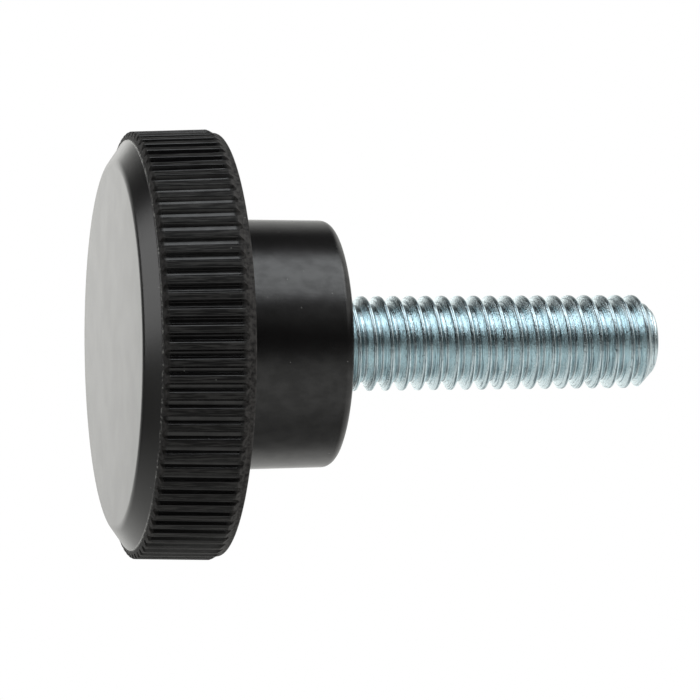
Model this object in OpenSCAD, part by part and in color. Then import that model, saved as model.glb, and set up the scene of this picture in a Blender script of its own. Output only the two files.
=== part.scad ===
// Knurled knob: a black moulded head with a straight-knurled rim and a hub, and
// a steel stud that is moulded into the hub. The knob stands on its front face,
// with the stud pointing up along +Z. All sizes are in millimetres and degrees.

/* [Head] */
// Widest diameter, over the crests of the ribs at their back ends
rim_d = 25.5; // [23:0.05:32]
// Height of the head, from its front face to its back face
head_h = 6.15; // [4.5:0.05:10]
// Diameter of the flat front face
face_d = 21.6; // [17:0.1:23]
// Height of the bevel between the front face and the ribs
bevel_h = 0.92; // [0.4:0.02:2]
// Rounding of the edge between the front face and the bevel
face_edge_r = 0.5; // [0.1:0.05:1]

/* [Ribs] */
// Distance from one rib to the next, along the widest diameter
rib_pitch = 0.94; // [0.86:0.02:1.6]
// Width of the crest of a rib
rib_land = 0.16; // [0.1:0.02:0.3]
// Angle by which the ribs narrow towards the front face
rib_draft = 2; // [0:0.25:4]
// Height of the sloped front ends of the ribs, above the bevel
rib_tip_h = 0.18; // [0.1:0.02:0.5]
// Height of the sloped back ends of the ribs
rib_end_h = 0.35; // [0.3:0.05:0.8]
// Depth of the grooves at their front ends
groove_front_depth = 0.46; // [0.3:0.02:0.6]
// Depth of the grooves at their back ends, where they run out
groove_back_depth = 0.3; // [0.2:0.02:0.5]

/* [Back of the head] */
// Height of the smooth band behind the ribs
band_h = 0.35; // [0.2:0.05:1]
// Rounding of the edge between the smooth band and the back face
back_edge_r = 0.15; // [0.05:0.05:0.3]

/* [Hub] */
// Diameter of the hub where it leaves the head
hub_d = 14.9; // [11:0.05:18]
// Length of the hub, from the back of the head to its end face
hub_h = 6.9; // [5:0.1:12]
// Angle by which the hub narrows towards its end
hub_draft = 0.6; // [0:0.1:2]
// Rounding of the edge at the end of the hub
hub_edge_r = 0.55; // [0.1:0.05:1]
// Fillet between the back face and the hub
hub_fillet_r = 0.3; // [0.1:0.05:1]

/* [Stud] */
// Diameter over the crests of the thread
thread_d = 5.7; // [4:0.1:8]
// Length of the stud outside the hub
stud_l = 20.2; // [8:0.1:50]
// Size of the 45 degree chamfer on the free end of the stud
stud_chamfer = 0.9; // [0.3:0.1:1.2]
// Diameter of the neck inside the hub, between the anchor and the thread
neck_d = 5.3; // [3.5:0.1:6]
// Height of the cone between the neck and the thread, just inside the hub
runout_h = 0.3; // [0.1:0.05:0.6]

/* [Anchor in the hub] */
// Thickness of plastic between the front face and the anchor
front_wall = 3; // [2:0.1:4]
// Diameter over the teeth of the anchor
anchor_d = 8; // [7:0.1:9]
// Number of teeth round the anchor
anchor_teeth = 20; // [12:1:30]
// Depth of the teeth of the anchor
tooth_depth = 0.35; // [0.2:0.05:0.6]
// Height of each of the two toothed bands
tooth_band_h = 2; // [1:0.1:3]
// Diameter of the waist between the toothed bands
waist_d = 6.4; // [5.5:0.1:7]
// Height of the waist
waist_h = 1.2; // [0.5:0.1:2]

/* [Hidden] */
rib_count = round(PI * rim_d / rib_pitch);
groove_r = (rib_pitch - rib_land) / 2;

// Heights up the rim, from the front face
groove_front_z = bevel_h;
crest_front_z = bevel_h + rib_tip_h;
band_z = head_h - band_h;
crest_back_z = band_z - rib_end_h;
hub_end_z = head_h + hub_h;

// Radii of the rim: crests, groove floors, and the smooth parts just below them
floor_gap = 0.03;
crest_back_r = rim_d / 2;
crest_front_r = crest_back_r - (crest_back_z - crest_front_z) * tan(rib_draft);
floor_front_r = crest_front_r - groove_front_depth;
floor_back_r = crest_back_r - groove_back_depth;
floor_draft = atan((floor_back_r - floor_front_r) / (crest_back_z - groove_front_z));
bevel_r = floor_front_r - floor_gap;
band_r = floor_back_r;

hub_r = hub_d / 2;
hub_end_r = hub_r - hub_h * tan(hub_draft);

// Heights up the stud
anchor_z = front_wall;
waist_z = anchor_z + tooth_band_h;
upper_band_z = waist_z + waist_h;
neck_z = upper_band_z + tooth_band_h;
stud_end_z = hub_end_z + stud_l;

overlap = 0.1;
arc_step = 22.5;
round_facets = 2 * rib_count;

// Points of an arc of radius r that rounds corner b between points a and c
function rounded_corner(a, b, c, r) =
    let (
        to_a = (a - b) / norm(a - b),
        to_c = (c - b) / norm(c - b),
        half = acos(to_a * to_c) / 2,
        middle = (to_a + to_c) / norm(to_a + to_c),
        centre = b + middle * r / sin(half),
        start = b + to_a * r / tan(half) - centre,
        side = sign(cross(to_a, to_c)),
        sweep = -side * (180 - 2 * half),
        steps = ceil(abs(sweep) / arc_step)
    )
    [for (k = [0:steps]) centre + turned(start, sweep * k / steps)];

function turned(v, angle) =
    [v.x * cos(angle) - v.y * sin(angle), v.x * sin(angle) + v.y * cos(angle)];

// Outline through points of the form [radius, height, rounding of that corner]
function rounded_outline(points) =
    [for (k = [0:len(points) - 1])
        let (p = points[k])
        each p[2] == 0
            ? [[p[0], p[1]]]
            : rounded_corner(
                [points[k - 1][0], points[k - 1][1]],
                [p[0], p[1]],
                [points[k + 1][0], points[k + 1][1]],
                p[2]
            )
    ];

// The moulding before its grooves: face, bevel, rim, back, hub
module knob_blank() {
    outline = [
        [0, 0, 0],
        [face_d / 2, 0, face_edge_r],
        [bevel_r, groove_front_z, 0],
        [crest_front_r, crest_front_z, 0],
        [crest_back_r, crest_back_z, 0],
        [band_r, band_z, 0],
        [band_r - band_h * tan(rib_draft), head_h, back_edge_r],
        [hub_r, head_h, hub_fillet_r],
        [hub_end_r, hub_end_z, hub_edge_r],
        [0, hub_end_z, 0]
    ];
    rotate_extrude($fn = round_facets)
        polygon(rounded_outline(outline));
}

// One half-round groove of the rim, which gets shallower until it runs out
module groove() {
    translate([0, -floor_front_r - groove_r, groove_front_z])
        rotate([floor_draft, 0, 0])
            translate([0, 0, -bevel_h])
                cylinder(r = groove_r, h = head_h + bevel_h, $fn = 24);
}

// Grooves all round the rim, with a rib facing -Y
module knurl() {
    for (k = [0:rib_count - 1])
        rotate([0, 0, (k + 0.5) * 360 / rib_count])
            groove();
}

// A band of V-shaped teeth on the anchor
module tooth_band() {
    linear_extrude(tooth_band_h)
        polygon([
            for (k = [0:2 * anchor_teeth - 1])
                let (
                    angle = k * 180 / anchor_teeth,
                    r = anchor_d / 2 - (k % 2) * tooth_depth
                )
                r * [cos(angle), sin(angle)]
        ]);
}

// The part of the stud that the hub is moulded round: anchor, neck and cone
module anchor() {
    translate([0, 0, anchor_z])
        tooth_band();
    translate([0, 0, upper_band_z])
        tooth_band();
    translate([0, 0, waist_z - overlap])
        cylinder(d = waist_d, h = waist_h + 2 * overlap, $fn = 64);
    rotate_extrude($fn = 64)
        polygon([
            [0, neck_z - overlap],
            [neck_d / 2, neck_z - overlap],
            [neck_d / 2, hub_end_z - runout_h],
            [thread_d / 2, hub_end_z],
            [thread_d / 2, hub_end_z + overlap],
            [0, hub_end_z + overlap]
        ]);
}

// The free part of the stud, plain at the crests of its thread
module shank() {
    rotate_extrude($fn = 64)
        polygon([
            [0, hub_end_z],
            [thread_d / 2, hub_end_z],
            [thread_d / 2, stud_end_z - stud_chamfer],
            [thread_d / 2 - stud_chamfer, stud_end_z],
            [0, stud_end_z]
        ]);
}

module knob() {
    color([0.05, 0.05, 0.055])
        difference() {
            knob_blank();
            knurl();
            anchor();
        }
}

module threaded_stud() {
    color([0.74, 0.79, 0.82]) {
        anchor();
        shank();
    }
}

knob();
threaded_stud();
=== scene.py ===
"""Dresses a knurled knob: a black moulded head and hub, and a zinc-plated steel stud.

The knob stands on its front face, with the stud pointing up along +Z. The script is
laid out as an add-on: the sizes and finishes are properties, and each piece is made
by an operator.
"""

import math

import bmesh
import bpy
from mathutils import Matrix, Vector


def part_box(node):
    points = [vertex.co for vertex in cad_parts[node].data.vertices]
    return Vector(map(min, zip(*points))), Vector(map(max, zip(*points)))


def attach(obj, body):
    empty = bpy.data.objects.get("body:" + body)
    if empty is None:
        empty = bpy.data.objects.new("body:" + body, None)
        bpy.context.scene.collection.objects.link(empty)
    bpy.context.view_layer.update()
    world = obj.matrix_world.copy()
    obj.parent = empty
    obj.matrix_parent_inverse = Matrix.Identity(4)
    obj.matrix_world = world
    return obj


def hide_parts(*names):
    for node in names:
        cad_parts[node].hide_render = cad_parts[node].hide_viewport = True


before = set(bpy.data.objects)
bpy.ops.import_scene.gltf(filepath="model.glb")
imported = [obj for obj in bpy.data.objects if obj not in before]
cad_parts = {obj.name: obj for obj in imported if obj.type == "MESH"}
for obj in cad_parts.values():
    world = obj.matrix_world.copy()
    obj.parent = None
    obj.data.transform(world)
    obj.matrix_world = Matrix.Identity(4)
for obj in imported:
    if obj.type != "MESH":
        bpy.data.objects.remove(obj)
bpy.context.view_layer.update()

bl_info = {
    "name": "Knurled knob",
    "version": (1, 0, 0),
    "blender": (4, 5, 0),
    "location": "View3D > Sidebar > Knob",
    "description": "Makes a moulded knurled knob with a threaded steel stud",
    "category": "Add Mesh",
}

# Lengths are in metres and angles in radians, unless a comment says otherwise
MM = 0.001
KNOB_NAME = "knob_moulding"
STUD_NAME = "plated_stud"

# Vertices closer than this are merged
MERGE_DISTANCE = 0.0002 * MM
# Steps of one turn of the stud, and steps of one turn of the moulding for each rib
STUD_STEPS = 96
STEPS_PER_RIB = 4
# Segments of a rounded corner, and of a rounded corner of the thread
CORNER_SEGMENTS = 6
THREAD_SEGMENTS = 3
# Turns of thread that are made past each end of the stud and cut off
SPARE_TURNS = 2
# Places of the shallow grooves along the stud's chamfer, from 0 at its wide end to 1,
# and the rounding of their edges and floors
CHAMFER_GROOVE_PLACES = (0.5, 0.78)
CHAMFER_GROOVE_EDGE = 0.02 * MM
CHAMFER_GROOVE_FLOOR = 0.03 * MM
# Steps in which a groove of the rim rises to its end, and how much it narrows there
GROOVE_END_STEPS = 4
GROOVE_END_TAPER = 0.8
# Angles up to which neighbouring faces are shaded smooth
STUD_SMOOTH_ANGLE = math.radians(40)
KNOB_SMOOTH_ANGLE = math.radians(28)
# Half the widths, in millimetres, of the faded edges of the wear: at the front ends of the
# ribs, inwards of the rim, and on both sides of the bevel's nicked edge
FRONT_FADE = 0.02
RIM_FADE = 0.05
EDGE_FADE = 0.03
# Share by which the moulding's roughness varies up and down
ROUGHNESS_SPREAD = 0.04
# Specks of dust per millimetre, and how far they reach from their middles, as shares of
# their spacing: they are fully pale up to the first and gone from the second on
DUST_DENSITY = 1.1
DUST_REACH = (0.018, 0.045)
# The lamps point at this place on the stud's axis, and stand this far from it
LIT_PLACE = Vector((0, 0, 16 * MM))
LAMP_DISTANCE = 0.6
# Size of the floor, its distance below the front face, and the distances from the knob
# between which it fades to white
FLOOR_SIZE = 4
FLOOR_GAP = 0.02 * MM
FLOOR_FADE = (0.05, 0.30)
# Width of the camera's sensor in millimetres
SENSOR_WIDTH = 36

knob_low, knob_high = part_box("knob")
stud_low, stud_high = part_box("threaded_stud")


def length(name, description, default):
    return bpy.props.FloatProperty(
        name=name, description=description, default=default, unit="LENGTH", precision=5
    )


def angle(name, description, degrees):
    return bpy.props.FloatProperty(
        name=name, description=description, default=math.radians(degrees), unit="ROTATION"
    )


def number(name, description, default):
    return bpy.props.FloatProperty(name=name, description=description, default=default, precision=3)


def count(name, description, default):
    return bpy.props.IntProperty(name=name, description=description, default=default, min=3)


def colour(name, description, default):
    return bpy.props.FloatVectorProperty(
        name=name, description=description, default=default, size=3, subtype="COLOR", min=0, max=1
    )


# Properties


class HeadSizes(bpy.types.PropertyGroup):
    """Sizes of the head and the hub"""

    rim_radius: length("Rim radius", "Radius over the crests at their back ends", -knob_low.y)
    head_height: length("Head height", "Height of the head above its front face", 6.15 * MM)
    face_radius: length("Face radius", "Radius of the flat front face", 10.8 * MM)
    bevel_height: length("Bevel height", "Height of the bevel round the face", 0.92 * MM)
    face_edge: length("Face edge", "Rounding between the face and the bevel", 0.8 * MM)
    bevel_radius: length("Bevel radius", "Radius of the bevel where it meets the ribs", 12.11 * MM)
    band_height: length("Band height", "Height of the smooth band behind the ribs", 0.3 * MM)
    band_radius: length("Band radius", "Radius of the smooth band at the ribs", 12.56 * MM)
    band_edge: length("Band edge", "Rounding between the band and the back face", 0.15 * MM)
    hub_radius: length("Hub radius", "Radius of the hub at the head", 7.45 * MM)
    hub_end: length("Hub end", "Height of the hub's end face", knob_high.z)
    hub_draft: angle("Hub draft", "Angle by which the hub narrows", 0.6)
    hub_edge: length("Hub edge", "Rounding of the edge at the hub's end", 0.55 * MM)
    hub_fillet: length("Hub fillet", "Fillet between the back face and the hub", 0.3 * MM)


class RibSizes(bpy.types.PropertyGroup):
    """Sizes of the straight knurl on the rim"""

    ribs: count("Ribs", "Number of ribs round the rim", 85)
    corner: length("Corner", "Rounding of the corners of a crest", 0.1 * MM)
    corner_turn: angle("Corner turn", "Slope at which the rounding of a corner meets its crest", 20)
    wall: angle("Wall", "Slope of the walls of a groove", 65)
    floor_radius: length("Floor radius", "Radius of the hollow floor of a groove", 0.52 * MM)
    floor_turn: angle("Floor turn", "Slope at which the floor meets its fillets", 13)
    floor_fillet: length("Floor fillet", "Fillet between the floor and a wall", 0.04 * MM)
    draft: angle("Draft", "Angle by which the ribs narrow to the front", 2)
    tip_height: length("Tip height", "Height of the sloped front ends", 0.18 * MM)
    end_height: length("End height", "Height of the sloped back ends", 0.35 * MM)
    front_depth: length("Front depth", "Depth of the grooves at their front ends", 0.3 * MM)
    back_depth: length("Back depth", "Depth of the grooves at their back ends", 0.22 * MM)
    tip_edge: length("Tip edge", "Rounding at the front ends of the crests", 0.1 * MM)
    end_edge: length("End edge", "Rounding at the back ends of the crests", 0.12 * MM)
    cutter_margin: length("Cutter margin", "Height of the cutting tool over the crests", 0.8 * MM)
    groove_end: length("Groove end", "Height at which the grooves end", 5.8 * MM)
    end_round: length("End round", "Length over which a groove rises to its end", 0.4 * MM)


class StudSizes(bpy.types.PropertyGroup):
    """Sizes of the stud and of the anchor that the hub is moulded round"""

    crest_radius: length("Crest radius", "Radius over the crests of the thread", 2.85 * MM)
    root_radius: length("Root radius", "Radius at the roots of the thread", 2.33 * MM)
    pitch: length("Pitch", "Rise of the thread in one turn", 1 * MM)
    crest_land: length("Crest land", "Width of the crests before their edges are rounded", 0.2 * MM)
    crest_height: length("Crest height", "Height at which a crest passes over +X", 14.6 * MM)
    flank: angle("Flank", "Slope of a flank away from square to the stud", 30)
    crest_round: length("Crest round", "Rounding of the crests", 0.08 * MM)
    root_round: length("Root round", "Rounding of the roots", 0.08 * MM)
    sunk: length("Sunk", "Length of thread that goes on inside the hub", 0.4 * MM)
    chamfer: length("Chamfer", "Size of the chamfer on the free end", 0.9 * MM)
    end_edge: length("End edge", "Rounding of the edge of the free end", 0.08 * MM)
    groove_width: length("Groove width", "Width of the shallow grooves on the chamfer", 0.14 * MM)
    groove_depth: length("Groove depth", "Depth of the shallow grooves on the chamfer", 0.07 * MM)
    free_end: length("Free end", "Height of the free end of the stud", stud_high.z)
    neck_radius: length("Neck radius", "Radius of the neck inside the hub", 2.65 * MM)
    anchor_start: length("Anchor start", "Height of the anchor's lower end", stud_low.z)
    anchor_radius: length("Anchor radius", "Radius over the anchor's teeth", 4 * MM)
    anchor_teeth: count("Anchor teeth", "Number of teeth round the anchor", 20)
    tooth_depth: length("Tooth depth", "Depth of the anchor's teeth", 0.35 * MM)
    tooth_band: length("Tooth band", "Height of each toothed band", 2 * MM)
    waist_radius: length("Waist radius", "Radius between the toothed bands", 3.2 * MM)
    waist_height: length("Waist height", "Height of the waist", 1.2 * MM)


class PlasticFinish(bpy.types.PropertyGroup):
    """Colours, gloss and wear of the moulding"""

    base: colour("Base", "Colour of the moulding", (0.005, 0.0046, 0.0048))
    roughness: number("Roughness", "Roughness of the moulding", 0.25)
    ior: number("IOR", "Refractive index of the moulding", 1.56)
    worn: colour("Worn", "Darkest colour of the dulled parts", (0.007, 0.0068, 0.0068))
    streak: colour("Streaks", "Colour of the streaks along the crests", (0.038, 0.037, 0.036))
    pale: colour("Pale wear", "Palest colour of the dulled ends", (0.066, 0.062, 0.06))
    worn_roughness: number("Worn roughness", "Roughness of the dulled parts", 0.6)
    worn_gloss: number("Worn gloss", "Specular level of the dulled parts", 0.15)
    gloss: number("Gloss", "Specular level of the face and the bevel", 0.5)
    hazy_gloss: number("Hazy gloss", "Specular level of hazy patches behind the bevel", 0.42)
    clear_gloss: number("Clear gloss", "Specular level of clear patches behind the bevel", 0.56)
    haze_start: length("Haze start", "Height at which the haze sets in", 1 * MM)
    haze_full: length("Haze full", "Height from which the haze has its full strength", 2 * MM)
    # The dust colour also paints the pale flecks along the bevel's nicked edge, which are painted
    # highlights
    dust: colour("Dust", "Colour of the specks of dust and of the nicks", (0.2, 0.2, 0.19))
    crest_wear: length("Crest wear", "Depth at which the wear of the crests sets in", 0.005 * MM)
    crest_full: length("Crest full", "Depth down to which the crests are fully dulled", 0.002 * MM)
    front_wear: length("Front wear", "Length of the dulled front ends of the ribs", 0.22 * MM)
    front_share: number("Front share", "Share of the pale wear that shows at the front ends", 0.6)
    back_wear: length("Back wear", "Distance below the back ends at which wear sets in", 0.22 * MM)
    back_full: length("Back full", "Distance over the back ends at which wear is full", 0.12 * MM)
    rim_wear: length("Rim wear", "Depth that the wear reaches inwards from the rim", 0.7 * MM)
    # Widths of the band along the bevel's outer edge that gets dents and painted highlights
    edge_inside: length("Edge inside", "Width of the bevel's nicked edge, inwards", 0.07 * MM)
    edge_outside: length("Edge outside", "Width of the bevel's nicked edge, outwards", 0.05 * MM)
    grain_depth: length("Grain depth", "Depth of the fine grain of the surface", 0.004 * MM)
    streak_depth: length("Streak depth", "Depth of the fine streaks up the moulding", 0.003 * MM)
    dent_depth: length("Dent depth", "Depth of the dents in the dulled parts", 0.05 * MM)
    flow_depth: length("Flow depth", "Depth of the wide waves of the surface", 0.004 * MM)


class ZincFinish(bpy.types.PropertyGroup):
    """Colours and gloss of the plating"""

    base: colour("Base", "Colour of the plating", (0.75, 0.92, 0.98))
    pale: colour("Pale", "Colour of the brightest grains", (0.85, 0.97, 1.0))
    # This colour darkens the fine lines along the thread and also paints the shade along the crests
    # and roots
    dark_lines_and_shade: colour("Dull", "Colour of the dark lines along the thread", (0.15, 0.23, 0.27))
    pit: colour("Pits", "Colour inside the pits of the plating", (0.07, 0.10, 0.12))
    lowest_roughness: number("Lowest roughness", "Roughness of the glossiest patches", 0.18)
    highest_roughness: number("Highest roughness", "Roughness of the dullest patches", 0.26)
    # Strengths of the painted dark reflection along the crests and of the painted shade along the
    # roots
    crest_dark_reflection: number("Crest seam", "Strength of the dark line along the crests", 0.85)
    root_shade: number("Root line", "Strength of the dark line along the roots", 0.8)
    lines: number("Lines", "Strength of the fine lines along the thread", 0.7)
    line_change: number("Line change", "How fast the fine lines change up the stud", 3)
    pitting: number("Pitting", "Strength of the colour inside the pits", 0.9)
    line_fade: length("Line fade", "Distance from the free end at which the lines fade", 0.08 * MM)
    grain_depth: length("Grain depth", "Depth of the grains of the plating", 0.011 * MM)
    line_depth: length("Line depth", "Depth of the fine lines along the thread", 0.028 * MM)
    pit_depth: length("Pit depth", "Depth of the pits", 0.04 * MM)


class StudioSettings(bpy.types.PropertyGroup):
    """Camera, floor and light"""

    lens: number("Lens", "Focal length in millimetres on a 36 mm sensor", 164.57)
    view_rise: angle("View rise", "Angle by which the camera looks up the stud", 13.45)
    view_roll: angle("View roll", "Turn of the camera about its line of sight", 0.475)
    view_turn: angle("View turn", "Turn of the camera round the knob", -0.35)
    eye: bpy.props.FloatVectorProperty(
        name="Eye",
        description="Place of the camera before its turn round the knob",
        default=(0.38 * MM, -186.685 * MM, -30.213 * MM),
        size=3,
        unit="LENGTH",
    )
    floor: colour("Floor", "Colour of the floor", (0.80, 0.80, 0.80))
    side_light: number("Side light", "Brightness of the large softbox beside the knob", 2.4)
    side_tint: colour("Side tint", "Colour of the light beside the knob", (0.95, 0.98, 1.0))
    face_light: number("Face light", "Brightness of the softbox below the front face", 1.65)
    room: colour("Room", "Colour of the room's light", (0.99, 0.99, 0.96))
    side_lean: number("Side lean", "Lean of the side wall's edge with height", 0.12)
    back_lean: number("Back lean", "Lean of the back wall's edge with height", 0.23)
    back_turn: number("Back turn", "Turn of the back wall towards the side wall", 0.2)
    foot_lean: number("Foot lean", "Lean of the bright foot of the window", 0.7)
    side_wall: number("Side wall", "Brightness of the room beyond +X", 0.69)
    side_share: number("Side share", "Share of that brightness left straight towards +X", 0.4)
    back_wall_left: number("Back wall left", "Brightness beyond +Y, towards -X", 0.65)
    back_wall_right: number("Back wall right", "Brightness beyond +Y, towards +X", 0.85)
    window: number("Window", "Brightness of the window straight behind the knob", 1.1)
    window_foot: number("Window foot", "Brightness of the window low on its left side", 1.75)
    ceiling: number("Ceiling", "Brightness of the room from above", 0.9)
    ground: number("Ground", "Brightness of the room from straight below", 0.25)


SETTINGS = {
    "knob_head": HeadSizes,
    "knob_ribs": RibSizes,
    "knob_stud": StudSizes,
    "knob_plastic": PlasticFinish,
    "knob_zinc": ZincFinish,
    "knob_studio": StudioSettings,
}


# Modelling


def vertices_near(piece, points):
    """Selects, in edit mode, only the vertices that lie at the given points."""
    mesh = bmesh.from_edit_mesh(piece.data)
    for vertex in mesh.verts:
        vertex.select_set(any((vertex.co - p).length < MERGE_DISTANCE for p in points))
    mesh.select_flush_mode()
    bmesh.update_edit_mesh(piece.data)


def draw_line(name, corners, closed=False, segments=CORNER_SEGMENTS):
    """Draws a line through corners of the form (x, y, z, rounding) and leaves it in edit mode."""
    points = [Vector(c[:3]) for c in corners]
    bpy.ops.object.select_all(action="DESELECT")
    bpy.ops.mesh.primitive_plane_add(size=MM, enter_editmode=True)
    piece = bpy.context.object
    piece.name = name
    bpy.ops.mesh.select_all(action="SELECT")
    bpy.ops.mesh.merge(type="CENTER")
    bpy.ops.transform.translate(value=points[0])
    for start, end in zip(points, points[1:]):
        bpy.ops.mesh.extrude_vertices_move(TRANSFORM_OT_translate={"value": end - start})
    if closed:
        vertices_near(piece, [points[0], points[-1]])
        bpy.ops.mesh.edge_face_add()
    for k, corner in enumerate(corners):
        if corner[3] > 0:
            to_last = (points[k - 1] - points[k]).normalized()
            to_next = (points[(k + 1) % len(points)] - points[k]).normalized()
            half = to_last.angle(to_next) / 2
            vertices_near(piece, [points[k]])
            bpy.ops.mesh.bevel(
                offset=corner[3] / math.tan(half), segments=segments, affect="VERTICES", profile=0.5
            )
    return piece


def close_end(piece, at_this_end):
    """Closes the open end of a tube, in edit mode, with a cap of triangles round its centre."""
    bpy.ops.mesh.select_mode(type="EDGE")
    mesh = bmesh.from_edit_mesh(piece.data)
    for edge in mesh.edges:
        edge.select_set(edge.is_boundary and at_this_end(edge.verts[0].co.z))
    bmesh.update_edit_mesh(piece.data)
    bpy.ops.mesh.extrude_edges_move()
    bpy.ops.mesh.merge(type="CENTER")
    bpy.ops.mesh.select_mode(type="VERT")


def merge_doubles():
    bpy.ops.mesh.select_all(action="SELECT")
    bpy.ops.mesh.remove_doubles(threshold=MERGE_DISTANCE)


def clean_up():
    """Merges doubles and turns all faces outwards, in edit mode."""
    merge_doubles()
    bpy.ops.mesh.normals_make_consistent(inside=False)


def spin_round(steps):
    """Spins the line in edit mode once round the Z axis into a closed body."""
    bpy.ops.mesh.select_all(action="SELECT")
    bpy.ops.mesh.spin(steps=steps, angle=2 * math.pi, center=(0, 0, 0), axis=(0, 0, 1))
    clean_up()
    bpy.ops.object.mode_set(mode="OBJECT")


def select_only(piece):
    bpy.ops.object.select_all(action="DESELECT")
    piece.select_set(True)
    bpy.context.view_layer.objects.active = piece


def apply_modifier(piece, kind, **settings):
    select_only(piece)
    modifier = piece.modifiers.new(kind.title(), kind)
    for name, value in settings.items():
        setattr(modifier, name, value)
    bpy.ops.object.modifier_apply(modifier=modifier.name)


def combine(piece, other, operation, keep_other=False):
    """Joins, cuts or intersects piece with other, which is then removed unless it is kept."""
    apply_modifier(piece, "BOOLEAN", operation=operation, object=other, solver="MANIFOLD")
    if not keep_other:
        bpy.data.objects.remove(other)


def finish_piece(piece, material, node, smooth_angle):
    """Gives a finished piece its smooth faces, its material and its place in the frame."""
    select_only(piece)
    bpy.ops.object.mode_set(mode="EDIT")
    clean_up()
    bpy.ops.object.mode_set(mode="OBJECT")
    bpy.ops.object.shade_smooth_by_angle(angle=smooth_angle)
    piece.data.materials.clear()
    piece.data.materials.append(material)
    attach(piece, "root")
    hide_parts(node)


# Materials


class Nodes:
    """The node tree of a material or a world, with short ways to add and link its nodes."""

    def __init__(self, owner):
        owner.use_nodes = True
        self.owner = owner
        self.tree = owner.node_tree

    def put(self, socket, value):
        """Feeds an input from an output, or sets it to a number, a vector or a colour."""
        if isinstance(value, bpy.types.NodeSocket):
            self.tree.links.new(value, socket)
        elif socket.type == "RGBA":
            socket.default_value = (*value, 1.0)
        else:
            socket.default_value = value

    def add(self, kind, inputs=None, **settings):
        """Adds a node with its settings. Its inputs are given by name or number."""
        node = self.tree.nodes.new(kind)
        for name, value in settings.items():
            setattr(node, name, value)
        for name, value in (inputs or {}).items():
            self.put(node.inputs[name], value)
        return node

    def shade(self, name, value):
        """Feeds an input of the material's own shader."""
        self.put(self.tree.nodes["Principled BSDF"].inputs[name], value)

    def millimetres(self, stretch=(1, 1, 1)):
        """Object coordinates in millimetres, stretched along the axes."""
        place = self.add("ShaderNodeTexCoord").outputs["Object"]
        scale = [share / MM for share in stretch]
        scaled = self.add("ShaderNodeMapping", {"Vector": place, "Scale": scale})
        return scaled.outputs["Vector"]

    def axes(self, vector):
        """The X, Y and Z of a vector."""
        return self.add("ShaderNodeSeparateXYZ", {"Vector": vector}).outputs[:]

    def vector(self, x, y, z=0.0):
        return self.add("ShaderNodeCombineXYZ", {"X": x, "Y": y, "Z": z}).outputs["Vector"]

    def length(self, vector):
        return self.add("ShaderNodeVectorMath", {0: vector}, operation="LENGTH").outputs["Value"]

    def noise(self, vector, scale, detail, roughness=0.5):
        inputs = {"Vector": vector, "Scale": scale, "Detail": detail, "Roughness": roughness}
        return self.add("ShaderNodeTexNoise", inputs).outputs["Fac"]

    def spread(self, value, low, high, to_low, to_high):
        """Maps value from low..high to to_low..to_high, with a smooth start and end."""
        limits = {"From Min": low, "From Max": high, "To Min": to_low, "To Max": to_high}
        node = self.add(
            "ShaderNodeMapRange", {"Value": value, **limits}, interpolation_type="SMOOTHSTEP"
        )
        return node.outputs["Result"]

    def rising(self, value, low, high):
        """0 up to low and 1 from high on."""
        return self.spread(value, low, high, 0, 1)

    def falling(self, value, low, high):
        """1 up to low and 0 from high on."""
        return self.spread(value, low, high, 1, 0)

    def mixed(self, data_type, part, factor, a, b):
        """Mixes a and b, which are both colours or both numbers."""
        node = self.add("ShaderNodeMix", data_type=data_type)
        sockets = {socket.identifier: socket for socket in (*node.inputs, *node.outputs)}
        self.put(sockets["Factor_Float"], factor)
        self.put(sockets[f"A_{part}"], a)
        self.put(sockets[f"B_{part}"], b)
        return sockets[f"Result_{part}"]

    def mix(self, factor, a, b):
        """Goes from colour a to colour b as factor goes from 0 to 1."""
        return self.mixed("RGBA", "Color", factor, a, b)

    def blend(self, factor, a, b):
        """Goes from number a to number b as factor goes from 0 to 1."""
        return self.mixed("FLOAT", "Float", factor, a, b)

    def math(self, operation, *values):
        return self.add("ShaderNodeMath", dict(enumerate(values)), operation=operation).outputs[0]

    def plus(self, value, share, other):
        """value + share * other"""
        return self.math("MULTIPLY_ADD", other, share, value)

    def product(self, a, b):
        return self.math("MULTIPLY", a, b)

    def largest(self, value, *others):
        for other in others:
            value = self.math("MAXIMUM", value, other)
        return value

    def relief(self, *layers):
        """Bumps on top of one another: each has its height map, its depth and its strength."""
        normal = None
        for height, depth, strength in layers:
            inputs = {"Height": height, "Distance": depth, "Strength": strength}
            if normal is not None:
                inputs["Normal"] = normal
            normal = self.add("ShaderNodeBump", inputs).outputs["Normal"]
        return normal


def rib_wear(nodes, finish, head, ribs, radius, height):
    """Where the ribs are dulled: on their crests, at their front ends and at their back ends."""
    rim = head.rim_radius / MM
    bevel = head.bevel_radius / MM
    front_end = (head.bevel_height + ribs.tip_height) / MM
    back_end = ribs_top(head, ribs) / MM
    inner = rim - finish.rim_wear / MM

    # The crests lean by the draft, and so does the level that the wear follows
    slope = math.tan(ribs.draft)
    crest = rim - slope * back_end
    crests = nodes.rising(
        nodes.plus(radius, -slope, height),
        crest - finish.crest_wear / MM,
        crest - finish.crest_full / MM,
    )
    front = nodes.product(
        nodes.rising(radius, bevel - FRONT_FADE, bevel + FRONT_FADE),
        nodes.falling(height, front_end - FRONT_FADE, front_end + finish.front_wear / MM),
    )
    back = nodes.product(
        nodes.rising(radius, inner - RIM_FADE, inner + RIM_FADE),
        nodes.rising(height, back_end - finish.back_wear / MM, back_end + finish.back_full / MM),
    )
    return crests, front, back


def nicked_glinting_edge(nodes, finish, head, radius):
    """A narrow band along the outer edge of the bevel, where dents are bumped in and highlights are
    painted as pale flecks.
    """
    inside = (head.bevel_radius - finish.edge_inside) / MM
    outside = (head.bevel_radius + finish.edge_outside) / MM
    return nodes.product(
        nodes.rising(radius, inside - EDGE_FADE, inside + EDGE_FADE),
        nodes.falling(radius, outside - EDGE_FADE, outside + EDGE_FADE),
    )


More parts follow.
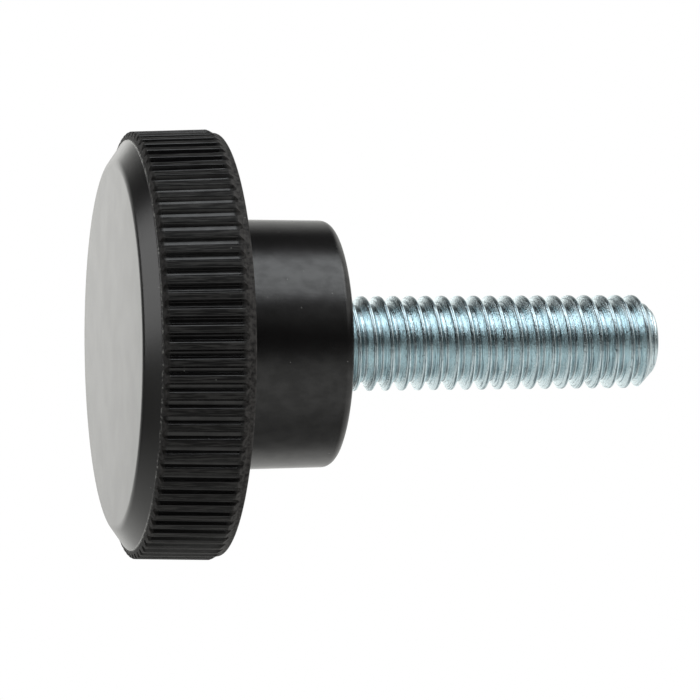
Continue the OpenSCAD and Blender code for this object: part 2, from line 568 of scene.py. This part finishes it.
def plastic_material(finish, head, ribs):
    """Glossy black moulding, dulled on its ribs, with specks of dust and a nicked edge that carries
    painted highlights in pale flecks.
    """
    nodes = Nodes(bpy.data.materials.new("black_moulding"))
    place = nodes.millimetres()
    x, y, height = nodes.axes(place)
    radius = nodes.length(nodes.vector(x, y))
    flow = nodes.noise(place, scale=0.35, detail=3)
    grain = nodes.noise(place, scale=7, detail=3, roughness=0.6)
    mottle = nodes.noise(place, scale=4.2, detail=4, roughness=0.65)
    haze = nodes.noise(nodes.millimetres((1.4, 1.4, 1.0)), scale=1, detail=4, roughness=0.6)
    streaks = nodes.noise(nodes.millimetres((10, 10, 0.45)), scale=1, detail=3, roughness=0.6)

    crests, front, back = rib_wear(nodes, finish, head, ribs, radius, height)
    ends = nodes.largest(front, back)
    worn = nodes.largest(crests, ends)
    edge = nicked_glinting_edge(nodes, finish, head, radius)

    # Streaks along the crests, mottled wear at the ends of the ribs, pale specks of dust over all,
    # and painted highlights in pale flecks along the bevel's nicked edge
    streaky = nodes.mix(nodes.rising(streaks, 0.44, 0.6), finish.worn, finish.streak)
    share = nodes.blend(front, 1.0, finish.front_share)
    paleness = nodes.product(nodes.rising(mottle, 0.28, 0.66), share)
    mottled = nodes.mix(paleness, finish.worn, finish.pale)
    body = nodes.mix(worn, finish.base, nodes.mix(ends, streaky, mottled))
    specks = nodes.add("ShaderNodeTexVoronoi", {"Vector": place, "Scale": DUST_DENSITY})
    dust = nodes.falling(specks.outputs["Distance"], *DUST_REACH)
    # Painted highlights: pale flecks along the bevel's nicked edge, in the colour of the dust
    edge_glints = nodes.product(edge, nodes.rising(mottle, 0.50, 0.60))
    nodes.shade("Base Color", nodes.mix(nodes.largest(dust, edge_glints), body, finish.dust))

    smoothest = finish.roughness * (1 - ROUGHNESS_SPREAD)
    roughest = finish.roughness * (1 + ROUGHNESS_SPREAD)
    smooth = nodes.spread(flow, 0.3, 0.7, smoothest, roughest)
    nodes.shade("Roughness", nodes.blend(worn, smooth, finish.worn_roughness))
    hazy = nodes.spread(haze, 0.35, 0.65, finish.hazy_gloss, finish.clear_gloss)
    behind_face = nodes.rising(height, finish.haze_start / MM, finish.haze_full / MM)
    gloss = nodes.blend(behind_face, finish.gloss, hazy)
    nodes.shade("Specular IOR Level", nodes.blend(worn, gloss, finish.worn_gloss))
    nodes.shade("IOR", finish.ior)
    dents = nodes.product(nodes.largest(ends, edge), mottle)
    nodes.shade(
        "Normal",
        nodes.relief(
            (grain, finish.grain_depth, 0.5),
            (streaks, finish.streak_depth, 0.5),
            (dents, finish.dent_depth, 0.7),
            (flow, finish.flow_depth, 0.3),
        ),
    )
    return nodes.owner


def thread_lines_and_shade(nodes, finish, stud, place, patches):
    """Fine lines along the thread, and how dark they are, together with painted shade along its
    crests and roots.
    """
    x, y, height = nodes.axes(place)
    end, fade = stud.free_end / MM, finish.line_fade / MM
    below_end = nodes.falling(height, end - fade, end - fade / 4)

    # The phase grows by a full turn from one crest to the next and stays the same along each
    radians_per_mm = 2 * math.pi * MM / stud.pitch
    phase = nodes.plus(nodes.product(nodes.math("ARCTAN2", y, x), -1.0), radians_per_mm, height)
    # A place that goes round a ring with the phase, and up with the height
    round_thread = nodes.vector(
        nodes.math("COSINE", phase),
        nodes.math("SINE", phase),
        nodes.product(height, finish.line_change),
    )
    lines = nodes.product(nodes.noise(round_thread, scale=2.2, detail=4, roughness=0.65), below_end)

    # The cosine is 1 along the crests and -1 along the roots
    from_crest = nodes.math("ADD", phase, -2 * math.pi * stud.crest_height / stud.pitch)
    cosine = nodes.product(nodes.math("COSINE", from_crest), below_end)
    # Painted shade: a dark line along each crest stands in for its dark reflection, and one along
    # each root for the shade in it; patches break both up
    painted_shade = nodes.largest(
        nodes.spread(cosine, 0.93, 0.98, 0, finish.crest_dark_reflection),
        nodes.spread(cosine, -0.92, -0.98, 0, finish.root_shade),
    )
    broken_painted_shade = nodes.product(painted_shade, nodes.spread(patches, 0.3, 0.6, 0.5, 1.0))
    return lines, nodes.largest(broken_painted_shade, nodes.spread(lines, 0.53, 0.62, 0, finish.lines))


def zinc_material(finish, stud):
    """Bluish zinc plating: bright grains, dark pits, fine lines that follow the thread, and painted
    shade along its crests and roots.
    """
    nodes = Nodes(bpy.data.materials.new("zinc_plating"))
    place = nodes.millimetres()
    grain = nodes.noise(place, scale=9, detail=4, roughness=0.65)
    patches = nodes.noise(place, scale=1.4, detail=3, roughness=0.55)
    pits = nodes.noise(place, scale=5.5, detail=4, roughness=0.75)
    lines, line_and_shade_darkness = thread_lines_and_shade(nodes, finish, stud, place, patches)

    plating = nodes.mix(nodes.rising(grain, 0.35, 0.68), finish.base, finish.pale)
    lined_and_shaded = nodes.mix(line_and_shade_darkness, plating, finish.dark_lines_and_shade)
    pitted = nodes.mix(nodes.spread(pits, 0.60, 0.68, 0, finish.pitting), lined_and_shaded, finish.pit)
    nodes.shade("Base Color", pitted)
    nodes.shade(
        "Roughness",
        nodes.spread(patches, 0.3, 0.7, finish.lowest_roughness, finish.highest_roughness),
    )
    nodes.shade("Metallic", 1.0)
    nodes.shade(
        "Normal",
        nodes.relief(
            (grain, finish.grain_depth, 0.7),
            (lines, finish.line_depth, 0.5),
            (pits, finish.pit_depth, 0.7),
        ),
    )
    return nodes.owner


# Pieces


def chamfer_grooves(sizes):
    """Corners of two shallow grooves on the chamfer, where the thread runs out."""
    corners = []
    for place in CHAMFER_GROOVE_PLACES:
        out = sizes.chamfer * (1 - place)
        radius = sizes.crest_radius - sizes.chamfer + out
        height = sizes.free_end - out
        half = sizes.groove_width / 2
        corners += [
            (radius + half, 0, height - half, CHAMFER_GROOVE_EDGE),
            (radius - sizes.groove_depth, 0, height - sizes.groove_depth, CHAMFER_GROOVE_FLOOR),
            (radius - half, 0, height + half, CHAMFER_GROOVE_EDGE),
        ]
    return corners


def long_thread(sizes, start):
    """A closed thread that runs on past both ends of the stud."""
    rise = (sizes.crest_radius - sizes.root_radius) * math.tan(sizes.flank)
    crest_half = sizes.crest_land / 2
    turns_below = math.ceil((sizes.crest_height - start) / sizes.pitch + SPARE_TURNS)
    base = sizes.crest_height - turns_below * sizes.pitch
    low = base - sizes.pitch / 2
    thread = draw_line(
        STUD_NAME,
        [
            (sizes.root_radius, 0, low, 0),
            (sizes.root_radius, 0, base - crest_half - rise, sizes.root_round),
            (sizes.crest_radius, 0, base - crest_half, sizes.crest_round),
            (sizes.crest_radius, 0, base + crest_half, sizes.crest_round),
            (sizes.root_radius, 0, base + crest_half + rise, sizes.root_round),
            (sizes.root_radius, 0, low + sizes.pitch, 0),
        ],
        segments=THREAD_SEGMENTS,
    )
    bpy.ops.object.mode_set(mode="OBJECT")
    apply_modifier(
        thread,
        "SCREW",
        angle=2 * math.pi,
        screw_offset=sizes.pitch,
        iterations=math.ceil((sizes.free_end - low) / sizes.pitch) + SPARE_TURNS,
        steps=STUD_STEPS,
        render_steps=STUD_STEPS,
        use_merge_vertices=True,
        merge_threshold=MERGE_DISTANCE,
    )
    bpy.ops.object.mode_set(mode="EDIT")
    merge_doubles()
    middle = (start + sizes.free_end) / 2
    close_end(thread, lambda z: z < middle)
    close_end(thread, lambda z: z > middle)
    clean_up()
    bpy.ops.object.mode_set(mode="OBJECT")
    return thread


def shank_bar(sizes, start):
    """A bar with the stud's chamfered end, which is as long as the threaded part of the stud."""
    outside = sizes.crest_radius + sizes.pitch / 4
    bar = draw_line(
        "bar",
        [
            (0, 0, start, 0),
            (outside, 0, start, 0),
            (outside, 0, sizes.free_end - sizes.chamfer - (outside - sizes.crest_radius), 0),
            *chamfer_grooves(sizes),
            (sizes.crest_radius - sizes.chamfer, 0, sizes.free_end, sizes.end_edge),
            (0, 0, sizes.free_end, 0),
        ],
    )
    spin_round(STUD_STEPS)
    return bar


def threaded_shank(sizes, hub_end):
    """The threaded part of the stud, from a little inside the hub to its chamfered end."""
    start = hub_end - sizes.sunk
    shank = long_thread(sizes, start)
    combine(shank, shank_bar(sizes, start), "INTERSECT")
    return shank


def anchor_core(sizes, hub_end):
    """The waist and neck of the anchor, and the heights at which its toothed bands start."""
    inset = sizes.tooth_band / 4
    waist = sizes.anchor_start + sizes.tooth_band
    upper = waist + sizes.waist_height
    top = hub_end - sizes.sunk / 2
    core = draw_line(
        "core",
        [
            (0, 0, sizes.anchor_start + inset, 0),
            (sizes.waist_radius, 0, sizes.anchor_start + inset, 0),
            (sizes.waist_radius, 0, upper + inset, 0),
            (sizes.neck_radius, 0, upper + inset, 0),
            (sizes.neck_radius, 0, top, 0),
            (0, 0, top, 0),
        ],
    )
    spin_round(STUD_STEPS)
    return core, (sizes.anchor_start, upper)


def tooth_band(sizes, height):
    """One toothed band of the anchor."""
    bpy.ops.object.select_all(action="DESELECT")
    bpy.ops.mesh.primitive_circle_add(
        vertices=2 * sizes.anchor_teeth,
        radius=sizes.anchor_radius,
        fill_type="NGON",
        location=(0, 0, height),
        enter_editmode=True,
    )
    band = bpy.context.object
    mesh = bmesh.from_edit_mesh(band.data)
    mesh.verts.ensure_lookup_table()
    for vertex in mesh.verts:
        turn = math.atan2(vertex.co.y, vertex.co.x) / (math.pi / sizes.anchor_teeth)
        vertex.select_set(round(turn) % 2 == 1)
    mesh.select_flush_mode()
    bmesh.update_edit_mesh(band.data)
    shrink = 1 - sizes.tooth_depth / sizes.anchor_radius
    bpy.ops.transform.resize(value=(shrink, shrink, 1), center_override=(0, 0, height))
    bpy.ops.mesh.select_all(action="SELECT")
    bpy.ops.mesh.extrude_region_move(TRANSFORM_OT_translate={"value": (0, 0, sizes.tooth_band)})
    clean_up()
    bpy.ops.object.mode_set(mode="OBJECT")
    bpy.ops.object.transform_apply(location=True, rotation=True, scale=True)
    return band


def rim_section(head, ribs, height):
    """Radii of the crests and of the groove floors at a height up the rim."""
    front = head.bevel_height + ribs.tip_height
    back = ribs_top(head, ribs)
    along = (height - front) / (back - front)
    crest = head.rim_radius - (back - height) * math.tan(ribs.draft)
    depth = ribs.front_depth + along * (ribs.back_depth - ribs.front_depth)
    return crest, crest - depth


def ribs_top(head, ribs):
    """Height at which the crests end, below their sloped back ends."""
    return head.head_height - head.band_height - ribs.end_height


def turned_blank(head, ribs):
    """The moulding before its grooves: face, bevel, rim, back of the head and hub."""
    tip_top = head.bevel_height + ribs.tip_height
    crest_front = rim_section(head, ribs, tip_top)[0]
    band_top = head.head_height
    back_radius = head.band_radius - head.band_height * math.tan(ribs.draft)
    hub_end_radius = head.hub_radius - (head.hub_end - band_top) * math.tan(head.hub_draft)
    piece = draw_line(
        KNOB_NAME,
        [
            (0, 0, 0, 0),
            (head.face_radius, 0, 0, head.face_edge),
            (head.bevel_radius, 0, head.bevel_height, ribs.corner / 2),
            (crest_front, 0, tip_top, ribs.tip_edge),
            (head.rim_radius, 0, ribs_top(head, ribs), ribs.end_edge),
            (head.band_radius, 0, band_top - head.band_height, ribs.end_edge),
            (back_radius, 0, band_top, head.band_edge),
            (head.hub_radius, 0, band_top, head.hub_fillet),
            (hub_end_radius, 0, head.hub_end, head.hub_edge),
            (0, 0, head.hub_end, 0),
        ],
    )
    spin_round(STEPS_PER_RIB * ribs.ribs)
    return piece


def arc(centre, radius, start, end, steps):
    """Points of an arc in a plane, with its angles from straight down towards +x."""
    turns = [start + (end - start) * k / steps for k in range(steps + 1)]
    return [(centre[0] + radius * math.sin(a), centre[1] - radius * math.cos(a)) for a in turns]


def groove_outline(ribs):
    """Section of a groove at its front end: (side, height over its floor), from lip to lip."""
    floor = arc((0, ribs.floor_radius), ribs.floor_radius, 0, ribs.floor_turn, steps=4)
    floor_side, floor_height = floor[-1]
    centre = (
        floor_side - ribs.floor_fillet * math.sin(ribs.floor_turn),
        floor_height + ribs.floor_fillet * math.cos(ribs.floor_turn),
    )
    fillet = arc(centre, ribs.floor_fillet, ribs.floor_turn, ribs.wall, steps=4)
    wall_side, wall_height = fillet[-1]
    lip_height = ribs.front_depth - ribs.corner * math.cos(ribs.corner_turn)
    rise = lip_height + ribs.corner * math.cos(ribs.wall) - wall_height
    lip_side = wall_side + rise / math.tan(ribs.wall) + ribs.corner * math.sin(ribs.wall)
    lip_start, lip_end = math.pi + ribs.wall, math.pi + ribs.corner_turn
    lip = arc((lip_side, lip_height), ribs.corner, lip_start, lip_end, steps=5)
    half = floor + fillet[1:] + lip
    half.append((half[-1][0], ribs.front_depth + ribs.cutter_margin))
    return [(-side, height) for side, height in reversed(half[1:])] + half


def carry_on(height, new_height, narrower, shallower, about, inwards=0):
    """Extrudes the upper end of a cutter over -Y, scales it about a radius and moves it inwards."""
    bpy.ops.mesh.extrude_region_move(TRANSFORM_OT_translate={"value": (0, 0, new_height - height)})
    centre = (0, -about, new_height)
    bpy.ops.transform.resize(value=(narrower, shallower, 1), center_override=centre)
    bpy.ops.transform.translate(value=(0, inwards, 0))


def groove_cutter(head, ribs):
    """A body of the shape of one groove over -Y, and of the space outside it, in edit mode."""
    front = head.bevel_height - ribs.tip_height
    back = ribs.groove_end - ribs.end_round
    crest, floor = rim_section(head, ribs, front)
    back_crest, back_floor = rim_section(head, ribs, back)
    back_depth = back_crest - back_floor
    shallower = back_depth / (crest - floor)
    tool = draw_line(
        "groove_cutters",
        [(side, -floor - height, front, 0) for side, height in groove_outline(ribs)],
        closed=True,
    )
    bpy.ops.mesh.select_all(action="SELECT")
    bpy.ops.mesh.edge_face_add()
    carry_on(front, back, back_crest / crest, shallower, floor, inwards=floor - back_floor)

    # The end rises on a quarter of an ellipse, and narrows as it rises
    outside = back_floor + (ribs.front_depth + ribs.cutter_margin) * back_depth / (crest - floor)
    last_height, last_depth, last_width = back, outside - back_floor, 1.0
    for step in range(1, GROOVE_END_STEPS + 1):
        turn = math.pi / 2 * step / GROOVE_END_STEPS
        height = back + ribs.end_round * math.sin(turn)
        depth = outside - (back_floor + back_depth * (1 - math.cos(turn)))
        width = math.cos(GROOVE_END_TAPER * turn)
        carry_on(last_height, height, width / last_width, depth / last_depth, outside)
        last_height, last_depth, last_width = height, depth, width
    return tool


def cut_grooves(piece, head, ribs):
    """Cuts all grooves of the rim with one tool: a groove copied round, with a rib over -Y."""
    tool = groove_cutter(head, ribs)
    clean_up()
    bpy.ops.transform.rotate(value=math.pi / ribs.ribs, orient_axis="Z", center_override=(0, 0, 0))
    bpy.ops.mesh.spin(
        steps=ribs.ribs - 1,
        dupli=True,
        angle=2 * math.pi * (ribs.ribs - 1) / ribs.ribs,
        center=(0, 0, 0),
        axis=(0, 0, 1),
    )
    bpy.ops.object.mode_set(mode="OBJECT")
    combine(piece, tool, "DIFFERENCE")


class KNOB_OT_make_stud(bpy.types.Operator):
    """Makes the zinc-plated stud with its thread and its anchor"""

    bl_idname = "knurled_knob.make_stud"
    bl_label = "Threaded stud"

    def execute(self, context):
        scene = context.scene
        sizes = scene.knob_stud
        stud = threaded_shank(sizes, scene.knob_head.hub_end)
        core, band_heights = anchor_core(sizes, scene.knob_head.hub_end)
        combine(stud, core, "UNION")
        for height in band_heights:
            combine(stud, tooth_band(sizes, height), "UNION")
        material = zinc_material(scene.knob_zinc, sizes)
        finish_piece(stud, material, "threaded_stud", STUD_SMOOTH_ANGLE)
        return {"FINISHED"}


class KNOB_OT_make_knob(bpy.types.Operator):
    """Makes the black moulding with its knurled rim"""

    bl_idname = "knurled_knob.make_knob"
    bl_label = "Knob"

    def execute(self, context):
        scene = context.scene
        piece = turned_blank(scene.knob_head, scene.knob_ribs)
        cut_grooves(piece, scene.knob_head, scene.knob_ribs)
        combine(piece, bpy.data.objects[STUD_NAME], "DIFFERENCE", keep_other=True)
        material = plastic_material(scene.knob_plastic, scene.knob_head, scene.knob_ribs)
        finish_piece(piece, material, "knob", KNOB_SMOOTH_ANGLE)
        return {"FINISHED"}


# Studio


def pale_room(studio):
    """Plain white for the camera, and for the knob the light of a pale room with a dark side."""
    nodes = Nodes(bpy.data.worlds.new("studio"))
    bpy.context.scene.world = nodes.owner
    nodes.tree.nodes.clear()
    x, y, z = nodes.axes(nodes.add("ShaderNodeTexCoord").outputs["Generated"])

    # Directions, from -1 to 1, that lean a little so that the room's edges aren't upright
    to_side = nodes.plus(x, studio.side_lean, z)
    to_back = nodes.plus(nodes.plus(y, studio.back_lean, z), studio.back_turn, to_side)
    to_foot = nodes.plus(z, studio.foot_lean, x)

    # The wall beyond +X, which is darker straight towards the side
    side_wall = nodes.product(
        nodes.spread(to_side, 0.07, 0.48, 0, studio.side_wall),
        nodes.spread(to_side, 0.8, 1.0, 1, studio.side_share),
    )
    # The wall beyond +Y, which gets brighter towards +X
    back_wall = nodes.product(
        nodes.rising(to_back, 0.4, 0.85),
        nodes.spread(x, -0.2, 0.6, studio.back_wall_left, studio.back_wall_right),
    )
    # The window behind the knob, which is brightest low on its left side
    window = nodes.product(
        nodes.rising(y, 0.88, 0.95),
        nodes.spread(to_foot, 0, -0.30, studio.window, studio.window_foot),
    )
    # The ceiling, which is dark over the middle of the knob
    ceiling = nodes.product(
        nodes.spread(z, 0.3, 0.6, 0, studio.ceiling),
        nodes.rising(nodes.product(x, x), 0.03, 0.16),
    )
    ground = nodes.spread(z, -0.75, -0.97, 0, studio.ground)

    strength = nodes.largest(side_wall, back_wall, window, ceiling, ground)
    room = nodes.add("ShaderNodeBackground", {"Color": studio.room, "Strength": strength})
    white = nodes.add("ShaderNodeBackground", {"Color": (1, 1, 1)})
    to_camera = nodes.add("ShaderNodeLightPath").outputs["Is Camera Ray"]
    inputs = {0: to_camera, 1: room.outputs[0], 2: white.outputs[0]}
    shown = nodes.add("ShaderNodeMixShader", inputs)
    nodes.add("ShaderNodeOutputWorld", {"Surface": shown.outputs[0]})


def softbox(name, direction, size, brightness, tint=(1, 1, 1)):
    """An area lamp that faces the knob from a direction, as bright as a white of that strength."""
    place = LIT_PLACE + Vector(direction).normalized() * LAMP_DISTANCE
    bpy.ops.object.light_add(type="AREA", location=place)
    lamp = bpy.context.object
    lamp.name = name
    lamp.rotation_euler = (place - LIT_PLACE).to_track_quat("Z", "Y").to_euler()
    lamp.data.shape = "RECTANGLE"
    lamp.data.size, lamp.data.size_y = size
    lamp.data.energy = brightness * math.pi * size[0] * size[1]
    lamp.data.color = tint
    lamp.visible_camera = False


def floor_material(tone):
    """Pale floor that fades into the white background.

    Shadow rays and glossy rays go through it, and so does the view from below.
    """
    nodes = Nodes(bpy.data.materials.new("pale_floor"))
    away = nodes.length(nodes.add("ShaderNodeTexCoord").outputs["Object"])
    paths = nodes.add("ShaderNodeLightPath")
    below = nodes.add("ShaderNodeNewGeometry").outputs["Backfacing"]
    unseen = nodes.largest(paths.outputs["Is Shadow Ray"], paths.outputs["Is Glossy Ray"], below)
    nodes.shade("Base Color", tone)
    nodes.shade("Roughness", 0.9)
    plain = nodes.tree.nodes["Principled BSDF"].outputs["BSDF"]
    white = nodes.add("ShaderNodeEmission", {"Color": (1, 1, 1), "Strength": 1.0}).outputs[0]
    clear = nodes.add("ShaderNodeBsdfTransparent").outputs[0]
    whiteness = nodes.rising(away, *FLOOR_FADE)
    faded = nodes.add("ShaderNodeMixShader", {0: whiteness, 1: plain, 2: white})
    shown = nodes.add("ShaderNodeMixShader", {0: unseen, 1: faded.outputs[0], 2: clear})
    nodes.put(nodes.tree.nodes["Material Output"].inputs["Surface"], shown.outputs[0])
    return nodes.owner


def place_camera(studio):
    """Looks at the side of the knob from a little in front of its face. The stud points right."""
    rise = studio.view_rise
    forward = Vector((0, math.cos(rise), math.sin(rise)))
    right = Vector((0, -math.sin(rise), math.cos(rise)))
    right.rotate(Matrix.Rotation(studio.view_roll, 3, forward))
    up = right.cross(forward)
    axes = Matrix((right, up, -forward)).transposed().to_4x4()
    turn = Matrix.Rotation(studio.view_turn, 4, "Z")
    bpy.ops.object.camera_add()
    camera = bpy.context.object
    camera.matrix_world = turn @ Matrix.Translation(Vector(studio.eye)) @ axes
    camera.data.sensor_width = SENSOR_WIDTH
    camera.data.lens = studio.lens
    camera.data.clip_start = 1 * MM
    bpy.context.scene.camera = camera


class KNOB_OT_make_studio(bpy.types.Operator):
    """Sets up the floor, the light and the camera"""

    bl_idname = "knurled_knob.make_studio"
    bl_label = "Studio"

    def execute(self, context):
        scene = context.scene
        studio = scene.knob_studio
        bpy.ops.object.select_all(action="DESELECT")
        bpy.ops.mesh.primitive_plane_add(size=FLOOR_SIZE, location=(0, 0, -FLOOR_GAP))
        floor = bpy.context.object
        floor.name = "floor"
        bpy.ops.object.transform_apply(location=True, rotation=True, scale=True)
        floor.data.materials.append(floor_material(studio.floor))
        pale_room(studio)
        softbox(
            "side_softbox",
            direction=(-0.902, -0.364, 0.23),
            size=(0.47, 0.5),
            brightness=studio.side_light,
            tint=studio.side_tint,
        )
        softbox(
            "face_softbox",
            direction=(-0.33, 0.225, -0.917),
            size=(0.36, 0.36),
            brightness=studio.face_light,
        )
        place_camera(studio)
        scene.view_settings.view_transform = "Standard"
        return {"FINISHED"}


class KNOB_PT_panel(bpy.types.Panel):
    """Sizes, finishes and pieces of the knurled knob"""

    bl_label = "Knurled knob"
    bl_idname = "KNOB_PT_panel"
    bl_space_type = "VIEW_3D"
    bl_region_type = "UI"
    bl_category = "Knob"

    def draw(self, context):
        for operator in OPERATORS:
            self.layout.operator(operator.bl_idname)
        for name, group in SETTINGS.items():
            box = self.layout.box()
            box.label(text=group.__doc__)
            for field in group.__annotations__:
                box.prop(getattr(context.scene, name), field)


OPERATORS = (KNOB_OT_make_stud, KNOB_OT_make_knob, KNOB_OT_make_studio)
CLASSES = (*SETTINGS.values(), *OPERATORS, KNOB_PT_panel)


def register():
    for item in CLASSES:
        bpy.utils.register_class(item)
    for name, group in SETTINGS.items():
        setattr(bpy.types.Scene, name, bpy.props.PointerProperty(type=group))


def unregister():
    for name in SETTINGS:
        delattr(bpy.types.Scene, name)
    for item in reversed(CLASSES):
        bpy.utils.unregister_class(item)


def main():
    register()
    bpy.ops.knurled_knob.make_stud()
    bpy.ops.knurled_knob.make_knob()
    bpy.ops.knurled_knob.make_studio()


if __name__ == "__main__":
    main()
